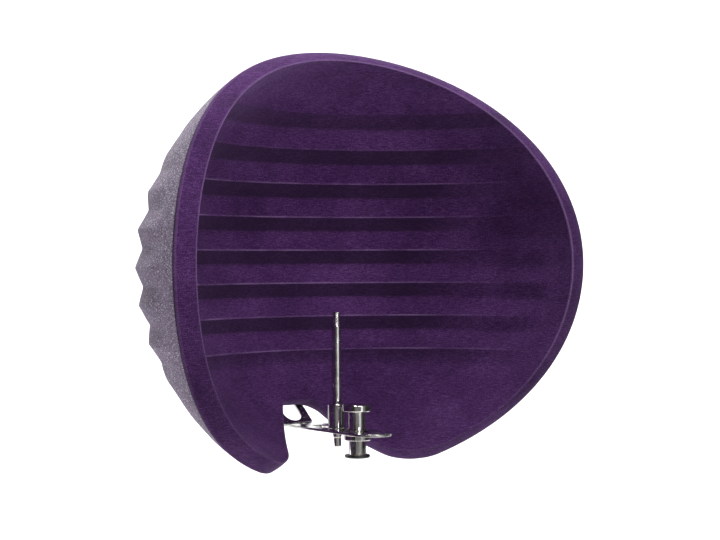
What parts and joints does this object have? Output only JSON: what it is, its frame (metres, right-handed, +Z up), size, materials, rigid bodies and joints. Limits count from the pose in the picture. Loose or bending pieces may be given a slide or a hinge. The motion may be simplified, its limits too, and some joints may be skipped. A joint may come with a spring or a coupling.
{
  "type": "microphone isolation shield",
  "caption": "Ribbed felt dome on a slotted steel bracket that clamps to a stand adaptor, with a sliding rod that holds a microphone in front of the dome.",
  "frame": {"origin": "centre of the stand adaptor's foot, on the underside of the foot ring, where the part screws down on a microphone stand", "axes": "+Z up along the stand's axis, +Y from the stand towards the back of the dome, so the dome opens towards -Y, +X to the right seen from the open side"},
  "size_m": [0.571, 0.2935, 0.4797],
  "materials": {
    "grey_felt": "matte",
    "core_felt": "matte",
    "purple_felt": "matte",
    "polished_steel": "polished",
    "dark_chrome": "polished",
    "nylon": "matte",
    "brass": "satin"
  },
  "bodies": {
    "stand": {"foot_ring": "dark_chrome", "thread_insert": "brass", "stand_adaptor": "polished_steel", "clamp_stud": "polished_steel"},
    "pan_bush": {"slot_bush": "nylon"},
    "shield": {"outer_felt_shell": "grey_felt", "felt_core": "core_felt", "inner_felt_liner": "purple_felt", "mounting_bracket": "polished_steel", "backing_plate": "polished_steel", "shell_bolt_1": "polished_steel", "shell_bolt_2": "polished_steel", "shell_bolt_3": "polished_steel", "shell_bolt_4": "polished_steel", "bolt_washer_1": "polished_steel", "bolt_washer_2": "polished_steel", "bolt_washer_3": "polished_steel", "bolt_washer_4": "polished_steel", "backing_nut_1": "polished_steel", "backing_nut_2": "polished_steel", "backing_nut_3": "polished_steel", "backing_nut_4": "polished_steel"},
    "clamp_washer": {"clamp_washer": "polished_steel"},
    "clamp_knob": {"clamp_knob": "polished_steel"},
    "collar": {"rod_collar": "polished_steel", "collar_circlip": "dark_chrome"},
    "rod_bush": {"rod_bush": "nylon"},
    "mic_rod": {"mic_rod": "polished_steel", "mic_thread_spigot": "polished_steel"},
    "grub_screw": {"collar_grub_screw": "dark_chrome"}
  },
  "joints": [
    {"name": "shield_pan", "type": "hinge", "parent": "stand", "child": "pan_bush", "pos_m": [0, 0, 0.027], "axis": [0, 0, 1], "continuous": true},
    {"name": "shield_slide", "type": "slide", "parent": "pan_bush", "child": "shield", "axis": [0, 1, 0], "range_m": [-0.006, 0.011]},
    {"name": "clamp_lift", "type": "slide", "parent": "stand", "child": "clamp_washer", "axis": [0, 0, 1], "range_m": [0, 0.005]},
    {"name": "clamp_knob_turn", "type": "hinge", "parent": "clamp_washer", "child": "clamp_knob", "pos_m": [0, 0, 0.05], "axis": [0, 0, 1], "range_deg": [0, 1200]},
    {"name": "collar_slide", "type": "slide", "parent": "shield", "child": "collar", "axis": [0, 1, 0], "range_m": [-0.0055, 0.037]},
    {"name": "rod_spin", "type": "hinge", "parent": "collar", "child": "rod_bush", "pos_m": [0, 0.0395, 0.045], "axis": [0, 0, 1], "continuous": true},
    {"name": "rod_height", "type": "slide", "parent": "rod_bush", "child": "mic_rod", "axis": [0, 0, 1], "range_m": [-0.085, 0.012]},
    {"name": "grub_screw_turn", "type": "hinge", "parent": "collar", "child": "grub_screw", "pos_m": [0, 0.0491, 0.045], "axis": [0, 1, 0], "range_deg": [0, 720]}
  ],
  "couplings": [
    {"joint": "clamp_lift", "follows": "clamp_knob_turn", "m_per_rad": 0.0002387}
  ]
}
